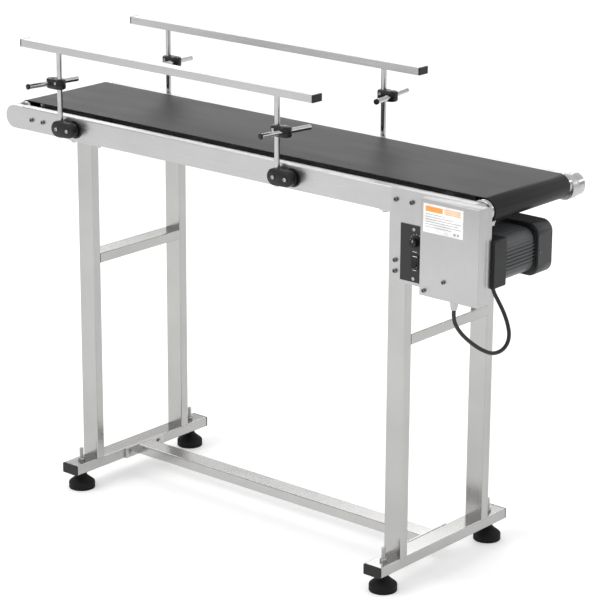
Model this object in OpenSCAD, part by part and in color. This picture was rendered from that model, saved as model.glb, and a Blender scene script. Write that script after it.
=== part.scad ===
// Belt conveyor section: two side rails with a driven belt, welded leg frames,
// levelling feet, a gear motor behind a drive cover, and two clamped guide bars.
// Origin at the middle of the footprint on the floor. +X runs along the belt to the drive end,
// -Y faces the control side, +Z is up. Millimetres.

/* [Conveyor] */
// Overall length over the belt's two ends
total_len = 1500; // [1300:10:1800]
// Width over the outer faces of the side rails
frame_w = 356; // [320:2:440]
// Height of the belt's carrying surface
belt_height = 954; // [850:2:1150]

/* [Side rails] */
// Height of a side rail
rail_h = 57; // [54:1:58]
// Thickness of a side rail across the belt
rail_t = 25; // [22:1:30]
// Wall of a rail tube
rail_wall = 2; // [1.5:0.5:3]
// Step from the belt's surface down to the top of the rails
rail_drop = 7; // [3:0.5:9]
// Length of the rounded nose blocks, at least the rails' height
nose_len = 58; // [57:1:70]
// Length of the bearing blocks at the drive end
end_len = 98; // [85:1:110]

/* [Belt and rollers] */
// Width of the belt
belt_w = 280; // [220:2:288]
// Thickness of the belt
belt_t = 2; // [1.5:0.5:3]
// Radius of the drive roller and the nose roller
roller_r = 25.7; // [24:0.1:26.5]
// Wall of a roller tube
roller_wall = 3; // [2:0.5:5]
// Radius of a roller's core around its shaft
core_r = 8; // [7:0.5:10]
// Radius of the drive shaft in its bearings
journal_r = 5; // [4:0.5:6]
// Outer radius of the drive bearings
bearing_r = 9.5; // [9:0.5:10]
// Radius of the fixed nose axle
axle_r = 6; // [5:0.5:8]

/* [Leg frames] */
// Distance between the two leg frames
leg_pitch = 971; // [800:5:1000]
// Broad side of the leg, tie and foot tubes
tube_w = 50; // [40:1:60]
// Narrow side of the leg, tie and foot tubes
tube_t = 25; // [20:1:30]
// Wall of those tubes
tube_wall = 1.5; // [1:0.5:3]
// Top of the tie tubes
tie_top = 606; // [400:10:700]
// Distance of the foot beams' ends outside the feet
beam_over = 42; // [38:1:60]
// Underside of the foot beams
beam_base = 46; // [44:1:60]
// Thickness of the leg top plates and of the lower tube's flanges
plate_t = 5; // [4:1:8]

/* [Levelling feet] */
// Radius of a foot pad
pad_r = 33; // [25:1:40]
// Radius of a foot stud
stud_r = 5; // [4:0.5:6]
// Distance of the feet outside the middle of the legs
foot_out = 44.5; // [40:0.5:60]

/* [Guides] */
// Length of a guide bar
guide_len = 932; // [800:4:1000]
// Distance between the posts of one guide
post_pitch = 696; // [600:4:760]
// Distance of the posts' axes from the rails' outer faces
post_out = 14; // [13:0.5:18]
// Radius of a post
post_r = 6.5; // [5:0.5:7]
// Top of the guide bars above the belt
guide_top = 171; // [150:1:200]
// Radius of a cross rod
cross_r = 6; // [5:0.5:6.5]
// Length of a cross rod with its cap
cross_len = 150; // [120:2:170]

/* [Drive] */
// Side of the square gearbox
gear_side = 108; // [90:1:110]
// Side of the gearbox's narrower front
gear_neck = 80; // [60:1:84]
// Depth of the gearbox
gear_depth = 56; // [40:1:70]
// Length of the finned motor body
motor_len = 104; // [80:1:120]
// Length of the fan cover
fan_len = 52; // [30:1:60]
// Side of the square fan cover
fan_side = 120; // [100:1:124]
// Width of the drive cover
cover_w = 158; // [150:1:180]
// Height of the drive cover
cover_h = 218; // [205:1:230]
// Depth of the drive cover in front of the rail
cover_d = 33; // [30:1:45]
// Wall of the drive cover
cover_wall = 1.5; // [1:0.5:2]
// Radius of the pulley on the drive roller
driven_r = 9; // [8.5:0.5:9.5]
// Radius of the pulley on the motor
driver_r = 14; // [12:0.5:18]
// Radius of the motor cable
cable_r = 4.5; // [4:0.25:5]

/* [Clearances] */
// Gap between a roller and the belt round it
belt_gap = 0.3; // [0.2:0.1:0.5]
// Radial clearance of a shaft that turns or slides in a hole
running_gap = 0.05; // [0.02:0.01:0.1]
// Gap between parts that pass each other
pass_gap = 0.5; // [0.3:0.1:1]
// Clearance of a fixed screw or spigot in its hole
fit_gap = 0.2; // [0.1:0.05:0.3]

/* [Hidden] */
$fn = 48;
// Screws: shank radius against head radius, and the head radii
shank_ratio = 0.55;
screw_r = 5;
cover_screw_r = 4.5;
panel_screw_r = 4;
// Belt run
belt_outer = roller_r + belt_gap + belt_t;
belt_inner = roller_r + belt_gap;
roller_z = belt_height - belt_outer;
drive_setback = 53;
drive_x = total_len/2 - drive_setback;
nose_setback = 38;
nose_x = -total_len/2 + nose_setback;
// Rails
half_w = frame_w/2;
rail_in = half_w - rail_t;
rail_top = belt_height - rail_drop;
rail_base = rail_top - rail_h;
rail_mid = rail_base + rail_h/2;
rail_x0 = -total_len/2 + nose_len;
rail_x1 = total_len/2 - end_len;
roller_len = 2*(rail_in - 1);
spigot_len = 84;
nose_screw_x = [rail_x0 + 33, rail_x0 + 72];
bearing_w = 12;
end_cap_r = 27;
end_cap_len = 22;
brace_x = [-560, -190, 190, 560];
brace_h = 20;
bed_t = 3;
bed_inset = 12;
bed_z = belt_height - belt_t - bed_t;
brace_top = bed_z - 22;
// Leg frames
frame_mid = -3.5;
frame_x = [frame_mid - leg_pitch/2, frame_mid + leg_pitch/2];
leg_y = rail_in + tube_t/2 - 10;
foot_y = leg_y + foot_out;
beam_half = foot_y + beam_over;
beam_h = 26;
beam_top = beam_base + beam_h;
leg_top = rail_base - plate_t;
top_plate_len = 104;
top_plate_w = tube_t + 2;
plate_bolt_x = 42;
plate_bolt_y = leg_y + 5.5;
cap_t = 4;
flange_len = 140;
flange_bolt_y = 51;
// Feet
pad_top = 37.5;
stud_top = 105;
nut_r = 9;
nut_h = 8;
// Guides
post_y = half_w + post_out;
guide_mid = -196;
post_x = [guide_mid - post_pitch/2, guide_mid + post_pitch/2];
bar_w = 32;
bar_h = 18;
bar_z = belt_height + guide_top - bar_h;
post_base = rail_base + 5;
clamp_r = 20;
clamp_reach = 36;
base_t = 3.5;
clamp_d = 25;
base_r = 22;
upper_r = 15;
upper_h = 24;
upper_reach = 24;
cross_cap = 5;
// Each cross clamp: guide side, post, reach along X, turn in plan, height above the belt, shift
CROSS = [
    [-1, 0, -1,  9, 74,   0],
    [-1, 1,  1,  9, 71,   0],
    [ 1, 0,  1,  0, 72, -15],
    [ 1, 1,  1, -9, 88,   0]
];
// Drive
plate_y = -half_w - 3;
plate_x0 = 473;
plate_x1 = total_len/2 - 17;
plate_z0 = rail_top - 212;
cover_x1 = total_len/2 - 15;
cover_x0 = cover_x1 - cover_w;
cover_y = -half_w - cover_d;
cover_z0 = rail_top - cover_h;
cover_back = -half_w + 12;
motor_x = cover_x1 - gear_side/2 + 9;
motor_z = rail_base - 19 - gear_side/2;
gear_y1 = -half_w + gear_depth;
motor_y1 = gear_y1 + motor_len;
ring_t = 6;
fan_y1 = motor_y1 + ring_t + fan_len;
motor_side = 100;
pulley_x = motor_x;
pulley_z = motor_z + 18;
pulley_y0 = plate_y - 23;
pulley_w = 12;
shaft_r = 6;
timing_t = 1.6;
panel_x0 = plate_x0 + 29;
panel_w = 74;
panel_z0 = plate_z0 + 8;
panel_h = 129;
panel_t = 2;
panel_y = plate_y - panel_t;
knob_x = panel_x0 + 44;
knob_z = panel_z0 + 93;
knob_r = 11;
spindle_r = 3;
switch_x = panel_x0 + 40;
switch_z = panel_z0 + 47;
switch_w = 14;
switch_h = 24;
switch_t = 8;
switch_tilt = 8;
bezel_t = 2;
bezel_rim = 3;
pivot_r = 1;
pivot_reach = 2;
// Screw positions along X and Z
plate_screw_at = [
    [plate_x0 + 14, rail_top - 25], [plate_x0 + 58, rail_top - 25],
    [plate_x0 + 14, plate_z0 + 24], [plate_x0 + 14, plate_z0 + 49]
];
cover_screw_at = [[cover_x1 - 92, cover_z0 + 41], [cover_x0 + 13, cover_z0 + 12]];
panel_screw_at = [[panel_x0 + 37, panel_z0 + 8], [panel_x0 + 37, panel_z0 + 120]];
// Points of the cable between its two glands, from the cover's right side, the front rail and its top
CABLE = [
    [-77, -13, -241], [-77, -13, -255], [-75, -10, -272], [-69,  -2, -290],
    [-59,   9, -307], [-47,  23, -323], [-35,  40, -337], [-25,  62, -347],
    [-18,  84, -345], [-15, 101, -333], [-18, 112, -315], [-27, 117, -292],
    [-40, 118, -267], [-53, 116, -245], [-62, 113, -228], [-66, 112, -213],
    [-67, 112, -199]
];
cable_route = [for (p = CABLE) [cover_x1 + p[0], p[1] - half_w, rail_top + p[2]]];
cable_end = cable_route[len(cable_route) - 1];
cable_sides = 10;

// ---- Shared shapes ----

// Rectangle centred on the origin with true round corners
module round_rect(w, h, r) {
    square([w - 2*r, h], center = true);
    square([w, h - 2*r], center = true);
    for (x = [-1, 1], y = [-1, 1]) translate([x*(w/2 - r), y*(h/2 - r)]) circle(r = r);
}

// Hollow outline of a rectangular tube
module tube_outline(w, h, wall, r = 3) {
    difference() {
        round_rect(w, h, r);
        square([w - 2*wall, h - 2*wall], center = true);
    }
}

// Extrusions of a 2D outline along each axis, from the first coordinate over a length
module along_x(x, len) { translate([x, 0, 0]) rotate([90, 0, 90]) linear_extrude(len) children(); }
module along_y(y, len) { translate([0, y + len, 0]) rotate([90, 0, 0]) linear_extrude(len) children(); }

// Round bar along +Y, starting at a point
module bar_y(x, y, z, r, len) { translate([x, y, z]) rotate([-90, 0, 0]) cylinder(r = r, h = len); }

// Socket screw whose head stands towards -Y from the face at y
module socket_screw(x, y, z, r = screw_r, head = 5, shank = 8) {
    difference() {
        union() {
            bar_y(x, y - head, z, r, head);
            bar_y(x, y, z, shank_ratio*r, shank);
        }
        translate([x, y - head - 1, z]) rotate([-90, 0, 0]) cylinder(r = r*0.5, h = head*0.6 + 1, $fn = 6);
    }
}

// Bores for the shanks of screws set into a face at y
module screw_bores(at, y, r, depth) {
    for (p = at) bar_y(p[0], y - 1, p[1], shank_ratio*r + fit_gap, depth + 2);
}

// Copies its children to the front and, mirrored, to the rear
module both_sides() {
    children();
    mirror([0, 1, 0]) children();
}

// ---- Belt run and rails ----

module nose_screw_bores(depth) {
    screw_bores([for (x = nose_screw_x) [x, rail_mid]], -half_w, screw_r, depth);
}

module leg_bolt_bores(r) {
    for (x = frame_x, s = [-1, 1])
        translate([x + s*plate_bolt_x, -plate_bolt_y, leg_top - 1]) cylinder(r = r, h = plate_t + 12);
}

module rail_shape() {
    difference() {
        along_x(rail_x0, rail_x1 - rail_x0)
            translate([-half_w + rail_t/2, rail_mid]) tube_outline(rail_t, rail_h, rail_wall, 2);
        nose_screw_bores(rail_wall);
        leg_bolt_bores(3.2);
    }
}
module front_rail() { color("gainsboro") rail_shape(); }
module rear_rail() { color("gainsboro") mirror([0, 1, 0]) rail_shape(); }

// Sheet under the belt, folded down along both sides to stand on the braces
module slider_bed() {
    x0 = nose_x + roller_r + 8;
    len = drive_x - nose_x - 2*roller_r - 16;
    half = belt_w/2 - bed_inset;
    color("silver") {
        translate([x0, -half, bed_z]) cube([len, 2*half, bed_t]);
        both_sides() translate([x0, -half, brace_top]) cube([len, bed_t, bed_z - brace_top]);
    }
}

module cross_braces() {
    color("silver")
        for (x = brace_x)
            along_y(-rail_in, 2*rail_in)
                translate([x, brace_top - brace_h/2]) tube_outline(brace_h, brace_h, tube_wall, 2);
}

module belt_loop(r) {
    translate([nose_x, roller_z]) circle(r = r, $fn = 96);
    translate([drive_x, roller_z]) circle(r = r, $fn = 96);
    translate([nose_x, roller_z - r]) square([drive_x - nose_x, 2*r]);
}
module conveyor_belt() {
    color("dimgray")
        along_y(-belt_w/2, belt_w) difference() {
            belt_loop(belt_outer);
            belt_loop(belt_inner);
        }
}

module nose_block() {
    inset = rail_wall + fit_gap;
    round_x = rail_h/2 - total_len/2;
    difference() {
        union() {
            bar_y(round_x, -half_w, rail_mid, rail_h/2, rail_t);
            translate([round_x, -half_w, rail_base]) cube([rail_x0 - round_x, rail_t, rail_h]);
            translate([rail_x0 - 1, -half_w + inset, rail_base + inset])
                cube([spigot_len + 1, rail_t - 2*inset, rail_h - 2*inset]);
        }
        bar_y(nose_x, -rail_in - 14, roller_z, axle_r, 20);
        nose_screw_bores(rail_t);
    }
}
module nose_blocks() { color("lightgray") both_sides() nose_block(); }

module end_block() {
    difference() {
        union() {
            translate([rail_x1, -half_w, rail_base]) cube([drive_x - rail_x1, rail_t, rail_h]);
            bar_y(drive_x, -half_w, rail_mid, rail_h/2, rail_t);
        }
        bar_y(drive_x, -half_w - 1, roller_z, bearing_r, rail_t + 2);
    }
}
module drive_end_blocks() { color("lightgray") both_sides() end_block(); }

// Bearings of the drive shaft, and the round cap over the rear one
module drive_bearings() {
    color("silver") {
        both_sides()
            difference() {
                bar_y(drive_x, -half_w + 6, roller_z, bearing_r, bearing_w);
                bar_y(drive_x, -half_w, roller_z, journal_r + running_gap, rail_t);
            }
        bar_y(drive_x, half_w, rail_mid, end_cap_r, end_cap_len);
    }
}

module nose_axle() { color("silver") bar_y(nose_x, -rail_in - 14, roller_z, axle_r, 2*(rail_in + 14)); }

module rail_screws() {
    color("dimgray")
        both_sides()
            for (x = nose_screw_x) socket_screw(x, -half_w, rail_mid);
}

// Tube with an end disc at each end and a bore through both
module roller(x, bore) {
    half = roller_len/2;
    disc = 10;
    inner = roller_r - roller_wall;
    translate([x, 0, roller_z]) rotate([90, 0, 0])
        rotate_extrude($fn = 96)
            polygon([
                [bore, -half], [roller_r, -half], [roller_r, half], [bore, half],
                [bore, half - disc], [inner, half - disc], [inner, -half + disc], [bore, -half + disc]
            ]);
}
module drive_roller() { color("silver") roller(drive_x, core_r); }
module nose_roller() { color("silver") roller(nose_x, axle_r + running_gap); }

module drive_shaft() {
    color("silver") {
        bar_y(drive_x, -roller_len/2, roller_z, core_r, roller_len);
        bar_y(drive_x, pulley_y0, roller_z, journal_r, half_w - 6 - pulley_y0);
    }
}

// ---- Leg frames ----

module leg_pair() {
    for (x = frame_x)
        translate([x, -leg_y, beam_top]) linear_extrude(leg_top - beam_top)
            tube_outline(tube_w, tube_t, tube_wall);
}
module front_legs() { color("silver") leg_pair(); }
module rear_legs() { color("silver") mirror([0, 1, 0]) leg_pair(); }

module tie_tubes() {
    span = leg_y - tube_t/2;
    color("silver")
        for (x = frame_x)
            along_y(-span, 2*span) translate([x, tie_top - tube_t/2]) tube_outline(tube_w, tube_t, tube_wall);
}

module foot_bores(r) {
    for (x = frame_x, y = [-1, 1])
        translate([x, y*foot_y, beam_base - 20]) cylinder(r = r, h = beam_h + 40);
}

module flange_bolt_bores(r) {
    for (y = [-1, 1])
        translate([frame_x[0] + tube_w/2 - 10, y*flange_bolt_y, beam_base + beam_h/2])
            rotate([0, 90, 0]) cylinder(r = r, h = leg_pitch - tube_w + 20);
}

module foot_beams() {
    half = beam_half - cap_t;
    color("silver")
        difference() {
            for (x = frame_x)
                along_y(-half, 2*half)
                    translate([x, beam_base + beam_h/2]) tube_outline(tube_w, beam_h, tube_wall);
            foot_bores(stud_r + 0.5);
            flange_bolt_bores(4.2);
        }
}

module beam_end_caps() {
    color("black")
        both_sides()
            for (x = frame_x)
                along_y(-beam_half, cap_t) translate([x, beam_base + beam_h/2]) round_rect(tube_w, beam_h, 3);
}

module leg_top_plates() {
    color("silver")
        both_sides()
            difference() {
                for (x = frame_x)
                    translate([x - top_plate_len/2, -leg_y - top_plate_w/2, leg_top])
                        cube([top_plate_len, top_plate_w, plate_t]);
                leg_bolt_bores(3.2);
            }
}

module leg_plate_bolts() {
    head = 4.5;
    color("gray")
        both_sides()
            for (x = frame_x, s = [-1, 1])
                translate([x + s*plate_bolt_x, -plate_bolt_y, leg_top - head]) {
                    cylinder(r = 6, h = head, $fn = 6);
                    cylinder(r = 3, h = head + plate_t + 8);
                }
}

module lower_tube() {
    x0 = frame_x[0] + tube_w/2 + plate_t;
    color("silver")
        along_x(x0, leg_pitch - tube_w - 2*plate_t)
            translate([0, beam_base + beam_h/2]) tube_outline(tube_w, tube_t, tube_wall);
}

module tube_flanges() {
    color("silver")
        difference() {
            for (x = [frame_x[0] + tube_w/2, frame_x[1] - tube_w/2 - plate_t])
                translate([x, -flange_len/2, beam_base]) cube([plate_t, flange_len, beam_h]);
            flange_bolt_bores(4.2);
        }
}

module flange_bolts() {
    head = 5;
    reach = tube_w/2 + plate_t;
    color("gray")
        for (end = [0, 1], y = [-1, 1])
            translate([frame_x[end], y*flange_bolt_y, beam_base + beam_h/2])
                rotate([0, end == 0 ? 90 : -90, 0]) {
                    translate([0, 0, reach]) cylinder(r = 7, h = head, $fn = 6);
                    translate([0, 0, reach - plate_t - 8]) cylinder(r = 4, h = plate_t + 8);
                }
}

module leveling_nuts() {
    color("gray")
        difference() {
            for (x = frame_x, y = [-1, 1], z = [beam_base - nut_h, beam_top])
                translate([x, y*foot_y, z]) cylinder(r = nut_r, h = nut_h, $fn = 6);
            foot_bores(stud_r + running_gap);
        }
}

// Rubber pad with a threaded stud standing in it
module foot(x, y) {
    neck = stud_r + 8;
    color("black")
        translate([frame_x[x], y*foot_y, 0]) {
            rotate_extrude()
                polygon([
                    [0, 0], [pad_r - 2, 0], [pad_r, 2], [pad_r, 16], [pad_r - 4, 21],
                    [neck, pad_top - 4], [neck - 1, pad_top], [0, pad_top]
                ]);
            cylinder(r = stud_r, h = stud_top);
        }
}
module foot_front_left() { foot(0, -1); }
module foot_front_right() { foot(1, -1); }
module foot_rear_left() { foot(0, 1); }
module foot_rear_right() { foot(1, 1); }

// ---- Drive ----

module side_plate() {
    color("lightgray")
        difference() {
            translate([plate_x0, plate_y, plate_z0])
                cube([plate_x1 - plate_x0, 3, rail_top - plate_z0]);
            bar_y(drive_x, plate_y - 1, roller_z, journal_r + 2, 5);
            bar_y(pulley_x, plate_y - 1, pulley_z, shaft_r + 4, 5);
            bar_y(knob_x, plate_y - 1, knob_z, spindle_r + 3, 5);
            translate([switch_x - switch_w/2 - 2, plate_y - 1, switch_z - switch_h/2 - 3])
                cube([switch_w + 4, 5, switch_h + 6]);
            screw_bores(plate_screw_at, plate_y, screw_r, 3);
        }
}

module plate_screws() {
    color("dimgray")
        for (p = plate_screw_at) socket_screw(p[0], plate_y, p[1], shank = 2.5);
}

// Pivot of the rocker switch, along X
module switch_pivot(r, reach) {
    half = switch_w/2 + reach;
    translate([switch_x - half, panel_y, switch_z]) rotate([0, 90, 0]) cylinder(r = r, h = 2*half);
}

module control_panel() {
    rim_x = switch_w/2 + bezel_rim;
    rim_z = switch_h/2 + bezel_rim + 1;
    color("black")
        difference() {
            union() {
                translate([panel_x0, panel_y, panel_z0]) cube([panel_w, panel_t, panel_h]);
                translate([switch_x - rim_x, panel_y - bezel_t, switch_z - rim_z])
                    cube([2*rim_x, bezel_t, 2*rim_z]);
            }
            bar_y(knob_x, panel_y - 1, knob_z, spindle_r + running_gap, panel_t + 2);
            translate([switch_x - switch_w/2 - pass_gap, panel_y - bezel_t - 1, switch_z - switch_h/2 - 1.2])
                cube([switch_w + 2*pass_gap, panel_t + bezel_t + 2, switch_h + 2.4]);
            switch_pivot(pivot_r + running_gap, pivot_reach + pass_gap);
            screw_bores(panel_screw_at, panel_y, panel_screw_r, panel_t);
        }
}

module speed_knob() {
    depth = 15;
    color("black")
        difference() {
            union() {
                bar_y(knob_x, panel_y - pass_gap - depth, knob_z, knob_r, depth);
                bar_y(knob_x, panel_y - pass_gap - 1, knob_z, spindle_r, panel_t + 3);
            }
            translate([knob_x - 0.6, panel_y - pass_gap - depth - 1, knob_z + 3]) cube([1.2, 2, knob_r]);
        }
}

module power_switch() {
    color("black") {
        translate([switch_x, panel_y, switch_z]) rotate([-switch_tilt, 0, 0])
            cube([switch_w, switch_t, switch_h], center = true);
        switch_pivot(pivot_r, pivot_reach);
    }
}

module drive_cover() {
    front_depth = plate_y - cover_y;
    color("lightgray")
        difference() {
            union() {
                translate([cover_x0, cover_y, cover_z0]) cube([cover_w, cover_wall, cover_h]);
                translate([cover_x0, cover_y, cover_z0]) cube([cover_wall, front_depth, cover_h]);
                translate([cover_x1 - cover_wall, cover_y, cover_z0])
                    cube([cover_wall, cover_back - cover_y, cover_h]);
                translate([cover_x0, cover_y, rail_top - cover_wall])
                    cube([cover_w, front_depth, cover_wall]);
                translate([cover_x0, cover_y, cover_z0]) cube([cover_w, cover_d, cover_wall]);
            }
            translate([cable_route[0][0], cable_route[0][1], cover_z0 - 1]) cylinder(r = 6.5, h = 4);
            screw_bores(cover_screw_at, cover_y, cover_screw_r, cover_wall);
        }
}

module cover_screws() {
    color("dimgray") {
        for (p = cover_screw_at) socket_screw(p[0], cover_y, p[1], r = cover_screw_r, head = 4, shank = 1.5);
        for (p = panel_screw_at) socket_screw(p[0], panel_y, p[1], r = panel_screw_r, head = 1.5, shank = 1);
    }
}

module rating_label() {
    color("white") translate([cover_x0 + 8, cover_y - 0.4, rail_top - 73]) cube([107, 0.4, 64]);
}

// Gearbox: its front is narrower, so that it reaches the side plate inside the cover
module gearbox() {
    wide_y = cover_back + pass_gap;
    color("dimgray")
        difference() {
            union() {
                along_y(-half_w, gear_depth)
                    translate([motor_x, motor_z]) round_rect(gear_neck, gear_neck, 4);
                along_y(wide_y, gear_y1 - wide_y)
                    translate([motor_x, motor_z]) round_rect(gear_side, gear_side, 4);
            }
            bar_y(pulley_x, -half_w - 1, pulley_z, shaft_r + running_gap, 31);
        }
}

module fin_outline() {
    fins = 9;
    pitch = 8;
    round_rect(motor_side, motor_side, 26);
    for (a = [0:90:270], i = [0:fins - 1])
        rotate(a) translate([(i - (fins - 1)/2)*pitch - 1, 0])
            square([2, motor_side/2 + (abs(i - 4) < 3 ? 3 : abs(i - 4) < 4 ? 1.5 : -1)]);
}
module motor_body() {
    box = 28;
    color("dimgray") {
        along_y(gear_y1, motor_len) translate([motor_x, motor_z]) fin_outline();
        along_y(motor_y1, ring_t) translate([motor_x, motor_z]) round_rect(motor_side, motor_side, 26);
        translate([cable_end[0] - box/2, cable_end[1] - box/2, motor_z - motor_side/2 - 6])
            cube([box, box, 12]);
    }
}

module fan_cover() {
    vents = 8;
    color("dimgray")
        difference() {
            along_y(motor_y1 + ring_t, fan_len)
                translate([motor_x, motor_z]) round_rect(fan_side, fan_side, 26);
            for (i = [0:vents - 1], ring = [20, 34])
                translate([motor_x, fan_y1 - 3, motor_z]) rotate([0, i*360/vents, 0])
                    translate([ring, 0, 0]) rotate([-90, 0, 0]) cylinder(r = 5, h = 5);
        }
}

// Cable gland hanging below a face: hexagon, dome and a bore for the cable
module gland(at, top) {
    hex_h = 6;
    difference() {
        translate([at[0], at[1], at[2]]) {
            cylinder(r = 8, h = top - at[2]);
            translate([0, 0, top - at[2] - hex_h]) cylinder(r = 10.5, h = hex_h, $fn = 6);
        }
        translate([at[0], at[1], at[2] - 1]) cylinder(r = cable_r + 0.2, h = 6);
    }
}
module cable_glands() {
    color("silver") {
        gland(cable_route[0], cover_z0);
        gland(cable_end, motor_z - motor_side/2 - 6);
    }
}

function between(a, b, c, d, t) =
    0.5*((2*b) + (c - a)*t + (2*a - 5*b + 4*c - d)*t*t + (3*b - a - 3*c + d)*t*t*t);
function clamped(i) = cable_route[max(0, min(len(cable_route) - 1, i))];
function smooth_route() = [
    for (i = [0:len(cable_route) - 2], k = [0:1])
        between(clamped(i - 1), clamped(i), clamped(i + 1), clamped(i + 2), k/2),
    cable_end
];
function unit(v) = v/norm(v);
function heading(path, i) = i == 0 || i == len(path) - 1 ? [0, 0, i == 0 ? -1 : 1]
    : unit(path[i + 1] - path[i - 1]);
function ring_side(dir) = unit(cross([1, 0, 0], dir));

module tube_along(path, r, sides) {
    n = len(path);
    points = [
        for (i = [0:n - 1], k = [0:sides - 1])
            let (dir = heading(path, i), u = ring_side(dir), v = cross(dir, u))
                path[i] + r*(cos(k*360/sides)*u + sin(k*360/sides)*v)
    ];
    walls = [
        for (i = [0:n - 2], k = [0:sides - 1])
            let (next = (k + 1) % sides)
                [i*sides + k, (i + 1)*sides + k, (i + 1)*sides + next, i*sides + next]
    ];
    first = [for (k = [0:sides - 1]) k];
    last = [for (k = [sides - 1:-1:0]) (n - 1)*sides + k];
    polyhedron(points, concat([first], walls, [last]), convexity = 6);
}
module motor_cable() { color("black") tube_along(smooth_route(), cable_r, cable_sides); }

module pulley(x, z, r, bore) {
    difference() {
        bar_y(x, pulley_y0, z, r, pulley_w);
        bar_y(x, pulley_y0 - 1, z, bore, pulley_w + 2);
    }
}
module driven_pulley() { color("gray") pulley(drive_x, roller_z, driven_r, journal_r); }
module motor_pulley() { color("gray") pulley(pulley_x, pulley_z, driver_r, shaft_r); }
module output_shaft() {
    color("silver") bar_y(pulley_x, pulley_y0, pulley_z, shaft_r, -half_w + 29 - pulley_y0);
}

module timing_loop(grow) {
    hull() {
        translate([drive_x, roller_z]) circle(r = driven_r + grow);
        translate([pulley_x, pulley_z]) circle(r = driver_r + grow);
    }
}
module timing_belt() {
    color("black")
        along_y(pulley_y0 + 1, pulley_w - 2) difference() {
            timing_loop(belt_gap + timing_t);
            timing_loop(belt_gap);
        }
}

// ---- Guides ----

module clamp_bases() {
    color("black")
        both_sides()
            for (x = post_x) bar_y(x + clamp_reach, -half_w - base_t, rail_mid, base_r, base_t);
}

module lower_clamp(x) {
    y = -half_w - base_t - clamp_d;
    difference() {
        union() {
            bar_y(x, y, rail_mid, clamp_r, clamp_d);
            bar_y(x + clamp_reach, y, rail_mid, clamp_r - 2, clamp_d);
            translate([x, y, rail_mid - clamp_r + 2]) cube([clamp_reach, clamp_d, 2*clamp_r - 4]);
        }
        translate([x, -post_y, rail_mid - clamp_r - 1]) cylinder(r = post_r + running_gap, h = 2*clamp_r + 2);
    }
}
module lower_clamps() {
    color("black")
        both_sides()
            for (x = post_x) lower_clamp(x);
}

module clamp_bolts() {
    y = -half_w - base_t - clamp_d;
    color("gray")
        both_sides()
            for (x = post_x, s = [0, clamp_reach])
                socket_screw(x + s, y, rail_mid, r = 4.5, head = 3, shank = 0);
}

module guide_bar(side) {
    along_x(guide_mid - guide_len/2 + cap_t, guide_len - 2*cap_t)
        translate([side*post_y, bar_z + bar_h/2]) tube_outline(bar_w, bar_h, 1.5, 1);
}
module bar_caps(side) {
    for (x = [guide_mid - guide_len/2, guide_mid + guide_len/2 - cap_t])
        along_x(x, cap_t) translate([side*post_y, bar_z + bar_h/2]) round_rect(bar_w, bar_h, 1);
}
module posts(side) {
    for (x = post_x) translate([x, side*post_y, post_base]) cylinder(r = post_r, h = bar_z - post_base);
}

// Moves children from a cross rod's own axes to its place on a guide
module at_cross(c) {
    translate([post_x[c[1]] + c[2]*upper_reach, c[0]*post_y, belt_height + c[4]])
        rotate([0, 0, -c[3]]) children();
}

module upper_clamp(c) {
    z = belt_height + c[4];
    base = [post_x[c[1]], c[0]*post_y, z - upper_h/2];
    difference() {
        union() {
            translate(base) cylinder(r = upper_r, h = upper_h);
            translate(base + [c[2]*upper_reach, 0, 0]) cylinder(r = upper_r, h = upper_h);
            translate(base + [c[2] > 0 ? 0 : -upper_reach, -upper_r + 2, 0])
                cube([upper_reach, 2*upper_r - 4, upper_h]);
        }
        translate(base - [0, 0, 1]) cylinder(r = post_r, h = upper_h + 2);
        at_cross(c) bar_y(0, -40, 0, cross_r + running_gap, 80);
    }
}
module front_guide_bar() { color("gainsboro") guide_bar(-1); }
module rear_guide_bar() { color("gainsboro") guide_bar(1); }
module front_bar_caps() { color("black") bar_caps(-1); }
module rear_bar_caps() { color("black") bar_caps(1); }
module front_posts() { color("silver") posts(-1); }
module rear_posts() { color("silver") posts(1); }
module front_upper_clamps() { color("black") for (i = [0, 1]) upper_clamp(CROSS[i]); }
module rear_upper_clamps() { color("black") for (i = [2, 3]) upper_clamp(CROSS[i]); }

// Rod with a plastic cap on its front end
module cross_rod(c) {
    color("silver")
        at_cross(c) {
            bar_y(0, c[5] - cross_len/2 + cross_cap, 0, cross_r, cross_len - cross_cap);
            bar_y(0, c[5] - cross_len/2, 0, cross_r + 0.8, cross_cap);
        }
}
module cross_rod_front_left() { cross_rod(CROSS[0]); }
module cross_rod_front_right() { cross_rod(CROSS[1]); }
module cross_rod_rear_left() { cross_rod(CROSS[2]); }
module cross_rod_rear_right() { cross_rod(CROSS[3]); }

// ---- Parts drawn ----

front_rail();
rear_rail();
slider_bed();
cross_braces();
conveyor_belt();
nose_blocks();
drive_end_blocks();
drive_bearings();
nose_axle();
rail_screws();
front_legs();
rear_legs();
tie_tubes();
foot_beams();
beam_end_caps();
leg_top_plates();
leg_plate_bolts();
lower_tube();
tube_flanges();
flange_bolts();
side_plate();
plate_screws();
control_panel();
drive_cover();
cover_screws();
rating_label();
gearbox();
motor_body();
fan_cover();
cable_glands();
motor_cable();
timing_belt();
clamp_bases();
lower_clamps();
clamp_bolts();
leveling_nuts();
drive_roller();
drive_shaft();
driven_pulley();
nose_roller();
motor_pulley();
output_shaft();
speed_knob();
power_switch();
front_guide_bar();
front_bar_caps();
front_posts();
front_upper_clamps();
rear_guide_bar();
rear_bar_caps();
rear_posts();
rear_upper_clamps();
cross_rod_front_left();
cross_rod_front_right();
cross_rod_rear_left();
cross_rod_rear_right();
foot_front_left();
foot_front_right();
foot_rear_left();
foot_rear_right();
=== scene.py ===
"""Looks for the belt conveyor section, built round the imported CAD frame. Lengths are in metres."""

import math

import bmesh
import bpy
from mathutils import Matrix, Vector


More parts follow.
